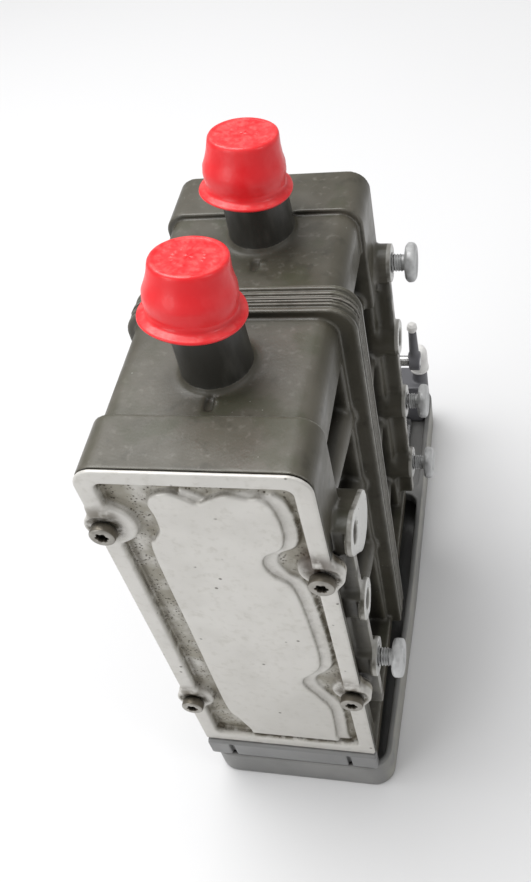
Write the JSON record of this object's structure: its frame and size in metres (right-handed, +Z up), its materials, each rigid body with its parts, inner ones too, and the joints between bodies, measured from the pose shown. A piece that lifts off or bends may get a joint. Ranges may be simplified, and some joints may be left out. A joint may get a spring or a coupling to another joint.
{
  "type": "hydraulic monoblock valve",
  "caption": "Hydraulic monoblock valve in a split casing with end covers, capped top ports, side mounting bosses, a tray base, a solenoid and a hand lever.",
  "frame": {"origin": "on the underside of the base cover, below the line where the casing's joint plane meets the casing's middle plane", "axes": "+X towards the side mounting bosses, +Y away from the front cover along the spools, +Z up along the two ports"},
  "size_m": [0.1082, 0.2525, 0.2945],
  "materials": {
    "casting": "satin dark olive-grey",
    "cast_aluminium": "raw as-cast and fettled",
    "block": "machined",
    "base_plastic": "satin moulded grey",
    "red_cap": "soft satin polyethylene",
    "white_cap": "satin polyethylene",
    "grey_plastic": "moulded",
    "dark_steel": "oiled",
    "steel": "ground",
    "zinc": "zinc plated, dull",
    "brass": "turned",
    "rubber": "matt",
    "coil_resin": "moulded resin",
    "board": "lacquered laminate"
  },
  "bodies": {
    "casing": {"base_cover": "base_plastic", "base_screw_1": "dark_steel", "base_screw_2": "dark_steel", "base_screw_3": "dark_steel", "base_screw_4": "dark_steel", "bracket_screw_1": "zinc", "bracket_screw_2": "zinc", "check_seat": "brass", "check_spring": "steel", "coil_nut": "zinc", "connector_body": "grey_plastic", "contact_insert": "brass", "control_board": "board", "core_tube": "steel", "front_cover": "cast_aluminium", "front_cover_gasket": "rubber", "front_cover_screw_1": "dark_steel", "front_cover_screw_2": "dark_steel", "front_cover_screw_3": "dark_steel", "front_cover_screw_4": "dark_steel", "front_housing": "casting", "gallery_plug": "brass", "housing_gasket": "rubber", "lever_bracket": "steel", "lower_return_spring": "steel", "lower_spring_plug": "brass", "mounting_bolt_1": "zinc", "mounting_bolt_2": "zinc", "mounting_bolt_3": "zinc", "mounting_bolt_4": "zinc", "port_seal_front": "rubber", "port_seal_rear": "rubber", "rear_cover": "cast_aluminium", "rear_cover_gasket": "rubber", "rear_cover_screw_1": "dark_steel", "rear_cover_screw_2": "dark_steel", "rear_cover_screw_3": "dark_steel", "rear_cover_screw_4": "dark_steel", "rear_housing": "casting", "relief_adjuster": "steel", "relief_locknut": "zinc", "relief_seat": "brass", "relief_spring": "steel", "solenoid_coil": "coil_resin", "spool_wiper": "rubber", "upper_return_spring": "steel", "upper_spring_plug": "brass", "valve_block": "block"},
    "front_cap": {"port_cap_front": "red_cap"},
    "rear_cap": {"port_cap_rear": "red_cap"},
    "plug_cap": {"connector_cap": "white_cap"},
    "upper_spool": {"upper_spool": "steel"},
    "plunger": {"solenoid_plunger": "steel"},
    "lower_spool": {"lower_spool": "steel"},
    "hand_lever": {"lever_shaft": "steel", "override_lever": "grey_plastic", "lever_knob": "white_cap", "shift_finger": "steel"},
    "relief_poppet": {"relief_poppet": "steel"},
    "check_poppet": {"check_poppet": "steel"}
  },
  "joints": [
    {"name": "front_cap_lift", "type": "slide", "parent": "casing", "child": "front_cap", "axis": [0, 0, 1], "range_m": [0, 0.04]},
    {"name": "rear_cap_lift", "type": "slide", "parent": "casing", "child": "rear_cap", "axis": [0, 0, 1], "range_m": [0, 0.04]},
    {"name": "connector_cap_lift", "type": "slide", "parent": "casing", "child": "plug_cap", "axis": [0, 0, 1], "range_m": [0, 0.03]},
    {"name": "upper_spool_slide", "type": "slide", "parent": "casing", "child": "upper_spool", "axis": [0, -1, 0], "range_m": [0, 0.005], "stiffness_N_per_m": 2000, "springref_m": -0.002, "deforming": ["upper_return_spring"]},
    {"name": "plunger_slide", "type": "slide", "parent": "casing", "child": "plunger", "axis": [0, -1, 0], "range_m": [0, 0.005]},
    {"name": "lower_spool_slide", "type": "slide", "parent": "casing", "child": "lower_spool", "axis": [0, 1, 0], "range_m": [-0.005, 0.005], "stiffness_N_per_m": 2000, "deforming": ["lower_return_spring"]},
    {"name": "hand_lever_swing", "type": "hinge", "parent": "casing", "child": "hand_lever", "pos_m": [0, 0.127, 0.086], "axis": [1, 0, 0], "range_deg": [-14, 14]},
    {"name": "relief_lift", "type": "slide", "parent": "casing", "child": "relief_poppet", "axis": [0, 1, 0], "range_m": [0, 0.002], "stiffness_N_per_m": 150, "springref_m": -0.002, "deforming": ["relief_spring"]},
    {"name": "check_lift", "type": "slide", "parent": "casing", "child": "check_poppet", "axis": [0, 0, -1], "range_m": [0, 0.004], "stiffness_N_per_m": 100, "springref_m": -0.004, "deforming": ["check_spring"]}
  ],
  "couplings": [
    {"joint": "plunger_slide", "follows": "upper_spool_slide", "ratio": 1},
    {"joint": "hand_lever_swing", "follows": "lower_spool_slide", "rad_per_m": -45.455}
  ]
}
